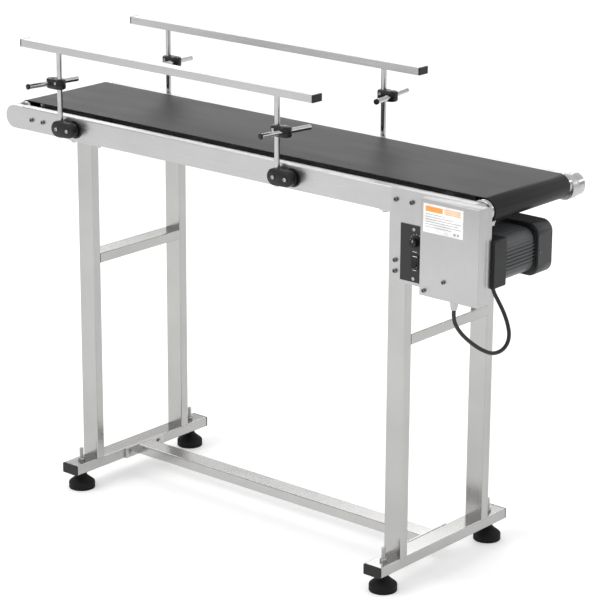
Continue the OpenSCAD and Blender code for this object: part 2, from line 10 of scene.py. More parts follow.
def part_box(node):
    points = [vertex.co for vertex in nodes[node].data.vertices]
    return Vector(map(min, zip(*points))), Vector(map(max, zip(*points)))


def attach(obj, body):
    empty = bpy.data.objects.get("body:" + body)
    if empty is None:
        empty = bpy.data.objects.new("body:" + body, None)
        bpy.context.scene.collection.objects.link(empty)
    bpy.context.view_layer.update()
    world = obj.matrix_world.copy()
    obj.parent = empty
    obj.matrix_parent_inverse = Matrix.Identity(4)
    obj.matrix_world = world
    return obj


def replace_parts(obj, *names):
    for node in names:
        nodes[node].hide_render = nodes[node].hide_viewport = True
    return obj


MM = 0.001
NOISE_LOW, NOISE_HIGH = 0.3, 0.7    # outside these a tint or spread no longer changes
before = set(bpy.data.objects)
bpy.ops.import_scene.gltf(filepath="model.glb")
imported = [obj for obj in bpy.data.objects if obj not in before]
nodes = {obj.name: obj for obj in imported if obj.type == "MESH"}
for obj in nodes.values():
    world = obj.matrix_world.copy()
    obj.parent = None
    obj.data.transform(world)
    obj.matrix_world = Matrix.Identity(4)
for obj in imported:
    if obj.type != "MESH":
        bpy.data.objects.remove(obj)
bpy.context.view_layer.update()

# ---- Camera ----

CAMERA_AT = (3.7573, -4.3635, 2.3515)
YAW, PITCH, ROLL = math.radians(40.28), math.radians(17.39), math.radians(0.30)

camera = bpy.data.objects.new("camera", bpy.data.cameras.new("camera"))
bpy.context.scene.collection.objects.link(camera)
camera.data.lens = 150.9
camera.data.sensor_width = 36
camera.data.clip_end = 60
camera.matrix_world = (
    Matrix.Translation(CAMERA_AT)
    @ Matrix.Rotation(YAW, 4, "Z")
    @ Matrix.Rotation(math.pi / 2 - PITCH, 4, "X")
    @ Matrix.Rotation(ROLL, 4, "Z")
)
bpy.context.scene.camera = camera
bpy.context.scene.view_settings.view_transform = "Standard"


# ---- Materials ----

class Shader:
    """A Principled material and short ways to add nodes to it."""

    def __init__(self, name, color, metallic=0.0, roughness=0.5, **values):
        self.material = bpy.data.materials.new(name)
        self.material.use_nodes = True
        self.nodes = self.material.node_tree.nodes
        self.links = self.material.node_tree.links
        self.bsdf = self.nodes["Principled BSDF"]
        self.set("Base Color", (*color, 1))
        self.set("Metallic", metallic)
        self.set("Roughness", roughness)
        for key, value in values.items():
            self.set(key.replace("_", " "), value)
        self.place = self.nodes.new("ShaderNodeTexCoord").outputs["Object"]

    def set(self, socket, value):
        self.bsdf.inputs[socket].default_value = value

    def noise(self, scale, stretch=(1, 1, 1), detail=4):
        """Noise in object space. A small stretch value draws it out along that axis."""
        mapping = self.nodes.new("ShaderNodeMapping")
        mapping.inputs["Scale"].default_value = [scale * s for s in stretch]
        self.links.new(self.place, mapping.inputs["Vector"])
        noise = self.nodes.new("ShaderNodeTexNoise")
        noise.inputs["Scale"].default_value = 1
        noise.inputs["Detail"].default_value = detail
        noise.inputs["Roughness"].default_value = 0.6
        self.links.new(mapping.outputs["Vector"], noise.inputs["Vector"])
        return noise.outputs["Fac"]

    def spread(self, fac, low, high):
        """A value that runs from low to high with fac."""
        node = self.nodes.new("ShaderNodeMapRange")
        node.inputs["From Min"].default_value = NOISE_LOW
        node.inputs["From Max"].default_value = NOISE_HIGH
        node.inputs["To Min"].default_value = low
        node.inputs["To Max"].default_value = high
        self.links.new(fac, node.inputs["Value"])
        return node.outputs["Result"]

    def tint(self, fac, low, high):
        """A colour that runs from low to high with fac."""
        ramp = self.nodes.new("ShaderNodeValToRGB")
        ramp.color_ramp.elements[0].position = NOISE_LOW
        ramp.color_ramp.elements[1].position = NOISE_HIGH
        ramp.color_ramp.elements[0].color = (*low, 1)
        ramp.color_ramp.elements[1].color = (*high, 1)
        self.links.new(fac, ramp.inputs["Fac"])
        self.links.new(ramp.outputs["Color"], self.bsdf.inputs["Base Color"])

    def rough(self, value):
        self.links.new(value, self.bsdf.inputs["Roughness"])

    def bump(self, height, strength, distance):
        node = self.nodes.new("ShaderNodeBump")
        node.inputs["Strength"].default_value = strength
        node.inputs["Distance"].default_value = distance
        self.links.new(height, node.inputs["Height"])
        self.links.new(node.outputs["Normal"], self.bsdf.inputs["Normal"])


def shade(color, factor):
    return tuple(min(1.0, c * factor) for c in color)


def brushed(name, color, roughness, along, contrast=0.07, grain=900):
    """Metal with a fine grain drawn out along one axis and a little cloudy staining."""
    s = Shader(name, color, metallic=1.0, roughness=roughness)
    stretch = [0.012 if axis == along else 1 for axis in "xyz"]
    lines = s.noise(grain, stretch, detail=3)
    cloud = s.noise(7, detail=3)
    s.tint(cloud, shade(color, 1 - contrast), shade(color, 1 + contrast))
    s.rough(s.spread(lines, roughness * 0.75, roughness * 1.3))
    s.bump(lines, 0.12, 0.00008)
    return s.material


def plastic(name, color, roughness=0.42, grain=1400, bump=0.25, shine=0.45):
    """Moulded plastic or rubber: a fine spark-eroded grain, with duller patches."""
    s = Shader(name, color, roughness=roughness, Specular_IOR_Level=shine)
    fine = s.noise(grain, detail=2)
    patch = s.noise(35, detail=3)
    s.tint(patch, shade(color, 0.8), shade(color, 1.25))
    s.rough(s.spread(patch, roughness * 0.85, roughness * 1.2))
    s.bump(fine, bump, 0.00006)
    return s.material


def chrome(name, along):
    """Bright bar with hairline marks from turning and sliding."""
    s = Shader(name, (0.47, 0.47, 0.47), metallic=1.0, roughness=0.09)
    stretch = [0.02 if axis == along else 1 for axis in "xyz"]
    hair = s.noise(1200, stretch, detail=2)
    smear = s.noise(40, detail=3)
    s.tint(smear, (0.43, 0.43, 0.43), (0.52, 0.52, 0.52))
    s.rough(s.spread(hair, 0.05, 0.16))
    s.bump(hair, 0.05, 0.00004)
    return s.material


def paint(name, color, roughness=0.4):
    """Painted casting: orange peel and slight shade changes."""
    s = Shader(name, color, roughness=roughness, Specular_IOR_Level=0.3,
               Coat_Weight=0.05, Coat_Roughness=0.3)
    peel = s.noise(420, detail=2)
    cloud = s.noise(18, detail=4)
    s.tint(cloud, shade(color, 0.85), shade(color, 1.2))
    s.rough(s.spread(cloud, roughness * 0.85, roughness * 1.25))
    s.bump(peel, 0.3, 0.0001)
    return s.material


def belt_material():
    """Coated belt: a matte dark surface with a pebbled grain and light scuffs along its run."""
    color = (0.020, 0.020, 0.0215)
    s = Shader("belt", color, roughness=0.46, Specular_IOR_Level=0.15)
    pebble = s.noise(1500, detail=2)
    scuff = s.noise(16, (0.25, 1.6, 1), detail=6)
    s.tint(scuff, shade(color, 0.93), shade(color, 1.08))
    s.rough(s.spread(scuff, 0.43, 0.48))
    s.bump(pebble, 0.35, 0.0001)
    return s.material


rail_metal = brushed("rail_metal", (0.50, 0.50, 0.503), 0.34, "x", contrast=0.03)
sheet_metal = brushed("sheet_metal", (0.47, 0.47, 0.47), 0.36, "z", contrast=0.03)
leg_metal = brushed("leg_metal", (0.43, 0.427, 0.418), 0.2, "z", contrast=0.05)
beam_metal = brushed("beam_metal", (0.43, 0.427, 0.418), 0.18, "y", contrast=0.05)
tube_metal = brushed("tube_metal", (0.49, 0.487, 0.477), 0.2, "x", contrast=0.05)
chrome_y = chrome("chrome_y", "y")
chrome_z = chrome("chrome_z", "z")
steel = brushed("fastener_steel", (0.46, 0.46, 0.46), 0.27, "z", contrast=0.12, grain=1500)
dark_steel = brushed("dark_steel", (0.16, 0.16, 0.17), 0.32, "z", contrast=0.12, grain=1500)
turned = brushed("turned_aluminium", (0.66, 0.66, 0.67), 0.3, "y", contrast=0.06)
black_plastic = plastic("black_plastic", (0.006, 0.006, 0.0063), roughness=0.38, shine=0.35)
panel_plastic = plastic("panel_plastic", (0.016, 0.016, 0.018), roughness=0.5, bump=0.15)
foot_rubber = plastic("foot_rubber", (0.005, 0.005, 0.005), roughness=0.6, grain=900, bump=0.35,
                      shine=0.2)
cable_rubber = plastic("cable_rubber", (0.012, 0.012, 0.012), roughness=0.38, grain=700, bump=0.2)
motor_paint = paint("motor_paint", (0.070, 0.072, 0.077))
gear_paint = paint("gear_paint", (0.012, 0.0123, 0.013), 0.45)
fan_paint = paint("fan_paint", (0.030, 0.031, 0.033), 0.36)
belt_face = belt_material()
label_white = plastic("label_film", (0.90, 0.90, 0.89), roughness=0.3, grain=500, bump=0.05)
label_orange = plastic("label_orange", (0.85, 0.30, 0.06), roughness=0.35, grain=500, bump=0.05)
label_pale = plastic("label_pale", (0.88, 0.52, 0.28), roughness=0.35, grain=500, bump=0.05)
label_grey = plastic("label_grey", (0.36, 0.36, 0.37), roughness=0.4, grain=500, bump=0.05)
mark_white = plastic("mark_white", (0.62, 0.62, 0.62), roughness=0.5, grain=500, bump=0.05)


# ---- Mesh tools ----

def finish_piece(name, bm, material, body, sharp=math.radians(35)):
    """Turns a bmesh into a piece that rides on a body."""
    bmesh.ops.recalc_face_normals(bm, faces=bm.faces)
    mesh = bpy.data.meshes.new(name)
    bm.to_mesh(mesh)
    bm.free()
    mesh.shade_smooth()
    mesh.set_sharp_from_angle(angle=sharp)
    mesh.materials.append(material)
    piece = bpy.data.objects.new(name, mesh)
    bpy.context.scene.collection.objects.link(piece)
    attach(piece, body)
    return piece


def loft(bm, rings, closed=False):
    """Skins rings of equal length, with caps at both ends unless closed."""
    loops = [[bm.verts.new(p) for p in ring] for ring in rings]
    count = len(loops[0])
    pairs = list(zip(loops, loops[1:]))
    if closed:
        pairs.append((loops[-1], loops[0]))
    for low, high in pairs:
        for k in range(count):
            n = (k + 1) % count
            bm.faces.new((low[k], low[n], high[n], high[k]))
    if not closed:
        bm.faces.new(list(reversed(loops[0])))
        bm.faces.new(loops[-1])


def ring(radius, height, count=48, shape=None):
    """Points round +Z. shape(angle) scales the radius."""
    points = []
    for k in range(count):
        angle = 2 * math.pi * k / count
        r = radius * (shape(angle) if shape else 1)
        points.append(Vector((r * math.cos(angle), r * math.sin(angle), height)))
    return points


def hexagon(angle):
    """Radius of a hexagon of corner radius 1, at an angle."""
    return math.cos(math.pi / 6) / math.cos((angle % (math.pi / 3)) - math.pi / 6)


def aim(at, axis=(0, 0, 1)):
    """Matrix that takes +Z to axis and the origin to a place."""
    turn = Vector((0, 0, 1)).rotation_difference(Vector(axis)).to_matrix().to_4x4()
    return Matrix.Translation(at) @ turn


def moved(matrix, rings):
    return [[matrix @ p for p in r] for r in rings]


def socket_head(bm, at, axis, radius, height):
    """Cap screw head with a hexagonal socket, standing along axis from the face at a place."""
    chamfer = radius * 0.14
    socket = radius * 0.56
    rings = [
        ring(radius, -0.2 * MM),
        ring(radius, height - chamfer),
        ring(radius - chamfer, height),
        ring(socket * 1.06, height),
        ring(socket, height - 0.3 * MM, shape=hexagon),
        ring(socket, height * 0.42, shape=hexagon),
    ]
    loft(bm, moved(aim(at, axis), rings))


def hex_head(bm, at, axis, radius, height):
    """Hexagonal bolt head with a chamfered crown and a washer face."""
    rings = [
        ring(radius * 1.22, 0),
        ring(radius * 1.22, 0.9 * MM),
        ring(radius * 0.9, 0.95 * MM),
        ring(radius, 1.1 * MM, shape=hexagon),
        ring(radius, height - 0.8 * MM, shape=hexagon),
        ring(radius * 0.86, height),
    ]
    loft(bm, moved(aim(at, axis), rings))


def hex_nut(bm, at, axis, radius, height, bore):
    rings = [
        ring(bore, 0),
        ring(radius * 0.86, 0),
        ring(radius, 0.8 * MM, shape=hexagon),
        ring(radius, height - 0.8 * MM, shape=hexagon),
        ring(radius * 0.86, height),
        ring(bore, height),
    ]
    loft(bm, moved(aim(at, axis), rings), closed=True)


def block(bm, low, high):
    """Axis-aligned box between two corners."""
    made = bmesh.ops.create_cube(bm, size=1)["verts"]
    size = Vector(high) - Vector(low)
    centre = (Vector(high) + Vector(low)) / 2
    for v in made:
        v.co = Vector((v.co.x * size.x, v.co.y * size.y, v.co.z * size.z)) + centre
    return made


def rounded_block(bm, low, high, radius, segments=3):
    verts = block(bm, low, high)
    edges = {e for v in verts for e in v.link_edges}
    bmesh.ops.bevel(bm, geom=list(edges), offset=radius, segments=segments, profile=0.5, affect="EDGES")


def carve(piece, cutters):
    """Subtracts closed cutter meshes from a piece and keeps the result in its mesh."""
    for cutter in cutters:
        modifier = piece.modifiers.new("cut", "BOOLEAN")
        modifier.operation = "DIFFERENCE"
        modifier.solver = "EXACT"
        modifier.object = cutter
    depsgraph = bpy.context.evaluated_depsgraph_get()
    result = bpy.data.meshes.new_from_object(piece.evaluated_get(depsgraph))
    piece.modifiers.clear()
    piece.data = result
    result.shade_smooth()
    result.set_sharp_from_angle(angle=math.radians(35))
    for cutter in cutters:
        bpy.data.objects.remove(cutter, do_unlink=True)


def cutter(rings):
    bm = bmesh.new()
    loft(bm, rings)
    bmesh.ops.recalc_face_normals(bm, faces=bm.faces)
    mesh = bpy.data.meshes.new("cutter")
    bm.to_mesh(mesh)
    bm.free()
    piece = bpy.data.objects.new("cutter", mesh)
    bpy.context.scene.collection.objects.link(piece)
    return piece


def centre_of(node):
    low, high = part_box(node)
    return (Vector(low) + Vector(high)) / 2


# ---- Cable from the drive cover to the motor ----

CABLE_R = 4.5 * MM
CABLE_ROUTE = [
    (0.658, -0.191, 0.706), (0.658, -0.191, 0.692), (0.660, -0.188, 0.675), (0.666, -0.180, 0.657),
    (0.676, -0.169, 0.640), (0.688, -0.155, 0.624), (0.700, -0.138, 0.610), (0.710, -0.116, 0.600),
    (0.717, -0.094, 0.602), (0.720, -0.077, 0.614), (0.717, -0.066, 0.632), (0.708, -0.061, 0.655),
    (0.695, -0.060, 0.680), (0.682, -0.062, 0.702), (0.673, -0.065, 0.719), (0.669, -0.066, 0.734),
    (0.668, -0.066, 0.748),
]


def smooth_path(points, steps):
    """Catmull-Rom curve through the points."""
    path = []
    for i in range(len(points) - 1):
        a, b, c, d = (Vector(points[max(0, min(len(points) - 1, i + k))]) for k in (-1, 0, 1, 2))
        for k in range(steps):
            t = k / steps
            path.append(0.5 * (2 * b + (c - a) * t + (2 * a - 5 * b + 4 * c - d) * t * t
                               + (3 * b - a - 3 * c + d) * t ** 3))
    path.append(Vector(points[-1]))
    return path


def motor_cable():
    path = smooth_path(CABLE_ROUTE, 6)
    data = bpy.data.curves.new("motor_cable_sheath", "CURVE")
    data.dimensions = "3D"
    data.bevel_depth = CABLE_R
    data.bevel_resolution = 8
    data.use_fill_caps = True
    spline = data.splines.new("POLY")
    spline.points.add(len(path) - 1)
    for point, place in zip(spline.points, path):
        point.co = (*place, 1)
    data.materials.append(cable_rubber)
    piece = bpy.data.objects.new("motor_cable_sheath", data)
    bpy.context.scene.collection.objects.link(piece)
    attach(piece, "frame")
    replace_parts(piece, "motor_cable")


def glands():
    """Cable glands: a hexagon against the face, a ribbed dome nut and a tapered nose."""
    bm = bmesh.new()
    motor_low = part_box("motor_body")[0][2]
    for at, top in ((CABLE_ROUTE[0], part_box("drive_cover")[0][2]), (CABLE_ROUTE[-1], motor_low)):
        base = Vector((at[0], at[1], top))
        depth = top - at[2]
        ribs = lambda angle: 1 - 0.035 * (math.cos(angle * 14) > 0)
        hexed = [ring(10 * MM, 0, shape=hexagon), ring(10.4 * MM, 0.6 * MM, shape=hexagon),
                 ring(10.4 * MM, 5.4 * MM, shape=hexagon), ring(9 * MM, 6 * MM)]
        dome = [ring(8.6 * MM, 5.9 * MM, 84), ring(8.6 * MM, 6.5 * MM, 84, ribs),
                ring(8.6 * MM, depth * 0.62, 84, ribs), ring(8.2 * MM, depth * 0.68, 84),
                ring(6.0 * MM, depth - 1 * MM, 84), ring(5.4 * MM, depth, 84)]
        for rings in (hexed, dome):
            loft(bm, moved(aim(base, (0, 0, -1)), rings))
    piece = finish_piece("gland_nuts", bm, steel, "frame")
    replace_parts(piece, "cable_glands")


motor_cable()
glands()


# ---- CAD nodes that keep their shape ----

def ease_edges(node, width):
    """Rounds the sharp edges of a CAD node with modifiers."""
    piece = nodes[node]
    weld = piece.modifiers.new("weld", "WELD")
    weld.merge_threshold = 0.00001
    flat = piece.modifiers.new("flat", "DECIMATE")
    flat.decimate_type = "DISSOLVE"
    flat.angle_limit = math.radians(0.6)
    bevel = piece.modifiers.new("bevel", "BEVEL")
    bevel.width = width
    bevel.segments = 2
    bevel.limit_method = "ANGLE"
    bevel.angle_limit = math.radians(50)
    bevel.harden_normals = True


def dress(material, names, edge=0):
    for name in names:
        slots = nodes[name].material_slots
        for s in slots:
            s.material = material
        if edge:
            ease_edges(name, edge)


dress(rail_metal, ["front_rail", "rear_rail"], 0.7 * MM)
dress(rail_metal, ["nose_blocks", "drive_end_blocks"], 1.2 * MM)
dress(rail_metal, ["front_guide_bar", "rear_guide_bar"])
dress(sheet_metal, ["side_plate"], 0.6 * MM)
dress(tube_metal, ["slider_bed", "cross_braces", "lower_tube"])
dress(tube_metal, ["leg_top_plates", "tube_flanges"], 0.7 * MM)
dress(leg_metal, ["front_legs", "rear_legs"])
dress(beam_metal, ["tie_tubes", "foot_beams"])
dress(belt_face, ["conveyor_belt"], 0.5 * MM)
dress(cable_rubber, ["timing_belt"])
dress(chrome_y, ["drive_roller", "nose_roller", "drive_shaft", "nose_axle", "output_shaft", "drive_bearings"])
dress(chrome_z, ["front_posts", "rear_posts"])
dress(turned, ["driven_pulley", "motor_pulley"])
dress(black_plastic, ["beam_end_caps", "front_bar_caps", "rear_bar_caps"], 1 * MM)
dress(panel_plastic, ["control_panel"], 0.5 * MM)
dress(label_white, ["rating_label"])
dress(gear_paint, ["gearbox"], 0.8 * MM)
dress(motor_paint, ["motor_body"])
dress(fan_paint, ["fan_cover"], 2.5 * MM)


# ---- Fasteners ----

RAIL_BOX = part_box("front_rail")
HALF_W = -RAIL_BOX[0][1]                       # from the middle to a rail's outer face
RAIL_MID = (RAIL_BOX[0][2] + RAIL_BOX[1][2]) / 2
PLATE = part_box("side_plate")
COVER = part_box("drive_cover")
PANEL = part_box("control_panel")
PANEL_FACE = PANEL[0][1] + 2 * MM              # the box starts at the switch's bezel, 2 mm proud
FRAME_X = (centre_of("foot_front_left").x, centre_of("foot_front_right").x)
FOOT_Y = (centre_of("foot_front_left").y, centre_of("foot_rear_left").y)
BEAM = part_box("foot_beams")
FRONT, BACK = (0, -1, 0), (0, 1, 0)
SCREW_R, SCREW_H = 5 * MM, 5 * MM
NOSE_SCREWS = (33 * MM, 72 * MM)               # from the rail's nose end
PLATE_BOLT_X, PLATE_BOLT_Y = 42 * MM, 0.161    # from the leg's middle, and from the object's
FLANGE_T, FLANGE_BOLT_Y = 5 * MM, 51 * MM
NUT_R, NUT_H = 9 * MM, 8 * MM


def rail_screws():
    bm = bmesh.new()
    for along in NOSE_SCREWS:
        x = RAIL_BOX[0][0] + along
        socket_head(bm, (x, -HALF_W, RAIL_MID), FRONT, SCREW_R, SCREW_H)
        socket_head(bm, (x, HALF_W, RAIL_MID), BACK, SCREW_R, SCREW_H)
    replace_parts(finish_piece("rail_cap_screws", bm, dark_steel, "frame"), "rail_screws")


def plate_screws():
    bm = bmesh.new()
    face = PLATE[0][1]
    for x in (14, 58):
        socket_head(bm, (PLATE[0][0] + x * MM, face, PLATE[1][2] - 25 * MM), FRONT, SCREW_R, SCREW_H)
    for z in (24, 49):
        socket_head(bm, (PLATE[0][0] + 14 * MM, face, PLATE[0][2] + z * MM), FRONT, SCREW_R, SCREW_H)
    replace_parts(finish_piece("plate_cap_screws", bm, dark_steel, "frame"), "plate_screws")


def cover_screws():
    face = COVER[0][1]
    bm = bmesh.new()
    for x, z in ((COVER[1][0] - 92 * MM, 41 * MM), (COVER[0][0] + 13 * MM, 12 * MM)):
        socket_head(bm, (x, face, COVER[0][2] + z), FRONT, 4.5 * MM, 4 * MM)
    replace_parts(finish_piece("cover_cap_screws", bm, dark_steel, "frame"), "cover_screws")
    bm = bmesh.new()
    for z in (8, 120):
        socket_head(bm, (PANEL[0][0] + 37 * MM, PANEL_FACE, PANEL[0][2] + z * MM), FRONT, 4 * MM, 1.5 * MM)
    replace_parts(finish_piece("panel_cap_screws", bm, steel, "frame"), "cover_screws")


def leg_plate_bolts():
    bm = bmesh.new()
    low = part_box("leg_top_plates")[0]
    for x in FRAME_X:
        for s in (-PLATE_BOLT_X, PLATE_BOLT_X):
            for y in (-PLATE_BOLT_Y, PLATE_BOLT_Y):
                hex_head(bm, (x + s, y, low[2]), (0, 0, -1), 6 * MM, 4.5 * MM)
    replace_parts(finish_piece("leg_plate_hex_bolts", bm, steel, "frame"), "leg_plate_bolts")


def flange_bolts():
    bm = bmesh.new()
    low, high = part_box("tube_flanges")
    z = (BEAM[0][2] + BEAM[1][2]) / 2
    face = (low[0] + FLANGE_T, high[0] - FLANGE_T)
    for y in (-FLANGE_BOLT_Y, FLANGE_BOLT_Y):
        hex_head(bm, (face[0], y, z), (1, 0, 0), 7 * MM, 5 * MM)
        hex_head(bm, (face[1], y, z), (-1, 0, 0), 7 * MM, 5 * MM)
    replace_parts(finish_piece("flange_hex_bolts", bm, steel, "frame"), "flange_bolts")


def leveling_nuts():
    bm = bmesh.new()
    for x in FRAME_X:
        for y in FOOT_Y:
            hex_nut(bm, (x, y, BEAM[1][2]), (0, 0, 1), NUT_R, NUT_H, 5.1 * MM)
            hex_nut(bm, (x, y, BEAM[0][2] - NUT_H), (0, 0, 1), NUT_R, NUT_H, 5.1 * MM)
    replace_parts(finish_piece("leveling_hex_nuts", bm, steel, "frame"), "leveling_nuts")


for make in (rail_screws, plate_screws, cover_screws, leg_plate_bolts, flange_bolts, leveling_nuts):
    make()


# ---- Levelling feet ----

def foot(name):
    """Moulded pad with a tread groove, and a stud with a real helical thread."""
    at = centre_of(name)
    base = Matrix.Translation((at.x, at.y, 0))
    # Radius and height, in mm
    profile = [
        (30.5, 0), (32.2, 0.4), (33, 1.6), (33, 5.4), (32.2, 6.0), (32.2, 7.0), (33, 7.6), (33, 14.5),
        (32.4, 16.4), (30.6, 18.6), (28, 20.6), (22, 25.5), (16.5, 30.5), (14, 33), (13, 34.6), (12.8, 36.6),
        (12, 37.4),
    ]
    bm = bmesh.new()
    loft(bm, moved(base, [ring(r * MM, z * MM, 72) for r, z in profile]))
    pad = finish_piece(name + "_pad", bm, foot_rubber, name)

    top, pitch, rows = 105 * MM, 1.75 * MM, 5
    start = 36 * MM
    rings = []
    for i in range(int((top - start) / pitch * rows)):
        z = start + i * pitch / rows
        thread = lambda angle: 1 - 0.10 * abs(((z / pitch - angle / (2 * math.pi)) % 1) - 0.5) * 2
        rings.append(ring(5 * MM, z, 24, thread))
    rings.append(ring(3.9 * MM, top, 24))
    bm = bmesh.new()
    loft(bm, moved(base, rings))
    stud = finish_piece(name + "_stud", bm, steel, name, math.radians(60))
    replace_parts(pad, name)
    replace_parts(stud, name)


for name in ("foot_front_left", "foot_front_right", "foot_rear_left", "foot_rear_right"):
    foot(name)


# ---- Guide clamps, rods and caps ----

POST_X = (-0.544, 0.152)                       # x of a guide's two posts
POST_OUT = 14 * MM
CLAMP_R, CLAMP_REACH, CLAMP_D, BASE_T = 20 * MM, 36 * MM, 25 * MM, 3.5 * MM
UPPER_R, UPPER_REACH, UPPER_H = 15 * MM, 24 * MM, 24 * MM
BELT_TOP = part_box("conveyor_belt")[1][2]


def stadium(a, b, radius_a, radius_b, height):
    """Outline round two circles whose centres lie on X, in the plane z = height."""
    count = 32
    points = []
    for k in range(count + 1):
        angle = math.pi / 2 + math.pi * k / count
        points.append(Vector((a + radius_a * math.cos(angle), radius_a * math.sin(angle), height)))
    for k in range(count + 1):
        angle = -math.pi / 2 + math.pi * k / count
        points.append(Vector((b + radius_b * math.cos(angle), radius_b * math.sin(angle), height)))
    return points


def clamp_rings(reach, radius_a, radius_b, depth):
    """Two clamp halves: rounded outer edges and a parting groove half way."""
    edge = 3 * MM
    rows = [(0, edge), (0.3 * edge, 0.45 * edge), (edge, 0)]
    middle = depth / 2
    rows += [(middle - 1.0 * MM, 0), (middle - 0.6 * MM, 1.3 * MM), (middle + 0.6 * MM, 1.3 * MM),
             (middle + 1.0 * MM, 0)]
    rows += [(depth - edge, 0), (depth - 0.3 * edge, 0.45 * edge), (depth, edge)]
    low, high = (0, reach) if reach > 0 else (reach, 0)
    first, second = (radius_a, radius_b) if reach > 0 else (radius_b, radius_a)
    return [stadium(low, high, first - inset, second - inset, z) for z, inset in rows]


def round_bore(at, axis, radius, length):
    return cutter(moved(aim(at, axis), [ring(radius, -length / 2), ring(radius, length / 2)]))


def lower_clamp(name, x, side):
    """Clamp on the rail's face, with a bore for the post and a round base behind it."""
    y = side * (HALF_W + BASE_T + CLAMP_D)
    turn = Matrix.Rotation(side * math.pi / 2, 4, "X")
    place = Matrix.Translation((x, y, RAIL_MID)) @ turn
    bm = bmesh.new()
    loft(bm, moved(place, clamp_rings(CLAMP_REACH, CLAMP_R, CLAMP_R - 2 * MM, CLAMP_D)))
    clamp = finish_piece(name, bm, black_plastic, "frame")
    post_y = side * (HALF_W + POST_OUT)
    carve(clamp, [round_bore((x, post_y, RAIL_MID), (0, 0, 1), 6.6 * MM, 60 * MM)])
    out = (0, side, 0)
    bm = bmesh.new()
    socket_head(bm, (x, y, RAIL_MID), out, 4.5 * MM, 3 * MM)
    socket_head(bm, (x + CLAMP_REACH, y, RAIL_MID), out, 4.5 * MM, 3 * MM)
    bolts = finish_piece(name + "_bolts", bm, steel, "frame")
    foot_rings = [ring(22 * MM, 0), ring(22 * MM, BASE_T - 1 * MM), ring(21 * MM, BASE_T)]
    bm = bmesh.new()
    face = (x + CLAMP_REACH, side * HALF_W, RAIL_MID)
    loft(bm, moved(aim(face, out), foot_rings))
    base = finish_piece(name + "_base", bm, black_plastic, "frame")
    for piece, node in ((clamp, "lower_clamps"), (bolts, "clamp_bolts"), (base, "clamp_bases")):
        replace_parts(piece, node)


# Side, post, reach, turn in plan in degrees, height above the belt in mm, shift in mm
CROSSES = {
    "front_left": (-1, 0, -1, 9, 74, 0),
    "front_right": (-1, 1, 1, 9, 71, 0),
    "rear_left": (1, 0, 1, 0, 72, -15),
    "rear_right": (1, 1, 1, -9, 88, 0),
}


def cross_set(key):
    side, post, reach, turn, height, shift = CROSSES[key]
    guide = key.split("_")[0]
    post_at = Vector((POST_X[post], side * (HALF_W + POST_OUT), BELT_TOP + height * MM))
    rod_at = post_at + Vector((reach * UPPER_REACH, 0, 0))
    angle = math.radians(turn)
    along = Vector((math.sin(angle), math.cos(angle), 0))
    bm = bmesh.new()
    place = Matrix.Translation(post_at - Vector((0, 0, UPPER_H / 2)))
    loft(bm, moved(place, clamp_rings(reach * UPPER_REACH, UPPER_R, UPPER_R, UPPER_H)))
    clamp = finish_piece("upper_clamp_" + key, bm, black_plastic, guide + "_guide")
    carve(clamp, [round_bore(post_at, (0, 0, 1), 6.5 * MM, 60 * MM),
                  round_bore(rod_at, along, 6.1 * MM, 80 * MM)])
    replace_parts(clamp, guide + "_upper_clamps")
    bm = bmesh.new()
    head_r, head_h = 3.6 * MM, 2.2 * MM
    socket_head(bm, post_at + Vector((0, 0.6 * MM - UPPER_R, 4 * MM)), FRONT, head_r, head_h)
    socket_head(bm, rod_at + Vector((0, 0, UPPER_H / 2)), (0, 0, 1), head_r, head_h)
    bolts = finish_piece("upper_bolts_" + key, bm, steel, guide + "_guide")
    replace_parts(bolts, guide + "_upper_clamps")

    half, cap = 75 * MM, 5 * MM
    start = rod_at + along * shift * MM
    rod_rings = [ring(6 * MM, -half + cap), ring(6 * MM, half - 1 * MM), ring(5 * MM, half)]
    bm = bmesh.new()
    loft(bm, moved(aim(start, along), rod_rings))
    rod = finish_piece("rod_" + key, bm, chrome_y, "cross_rod_" + key)
    cap_rings = [ring(5.6 * MM, -half), ring(6.5 * MM, -half + 0.5 * MM), ring(6.8 * MM, -half + 1.4 * MM),
                 ring(6.8 * MM, -half + cap)]
    bm = bmesh.new()
    loft(bm, moved(aim(start, along), cap_rings))
    tip = finish_piece("rod_cap_" + key, bm, black_plastic, "cross_rod_" + key)
    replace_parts(rod, "cross_rod_" + key)
    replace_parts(tip, "cross_rod_" + key)


for x, end in zip(POST_X, ("left", "right")):
    lower_clamp("lower_clamp_front_" + end, x, -1)
    lower_clamp("lower_clamp_rear_" + end, x, 1)
for key in CROSSES:
    cross_set(key)


# ---- Drive cover, label and controls ----

PRINT_T, PRINT_SINK = 0.12 * MM, 0.1 * MM      # how far print stands out of a face and sinks into it


def drive_cover():
    """Folded sheet cover with rounded outer corners, open at the back."""
    low, high = Vector(COVER[0]), Vector(COVER[1])
    wall = 1.5 * MM
    plate_face = PLATE[0][1]
    bm = bmesh.new()
    rounded_block(bm, low, (high.x, plate_face - 0.1 * MM, high.z), 1.6 * MM, 4)
    shell = finish_piece("drive_cover_shell", bm, sheet_metal, "frame")
    inner = bmesh.new()
    block(inner, low + Vector((wall, wall, wall)), (high.x - wall, plate_face + 0.02, high.z - wall))
    mesh = bpy.data.meshes.new("hollow")
    inner.to_mesh(mesh)
    inner.free()
    hollow = bpy.data.objects.new("hollow", mesh)
    bpy.context.scene.collection.objects.link(hollow)
    carve(shell, [hollow])
    bm = bmesh.new()
    rounded_block(bm, (high.x - wall, plate_face - 2 * MM, low.z), (high.x, high.y, high.z), 0.5 * MM)
    side = finish_piece("drive_cover_return", bm, sheet_metal, "frame")
    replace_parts(shell, "drive_cover")
    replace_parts(side, "drive_cover")


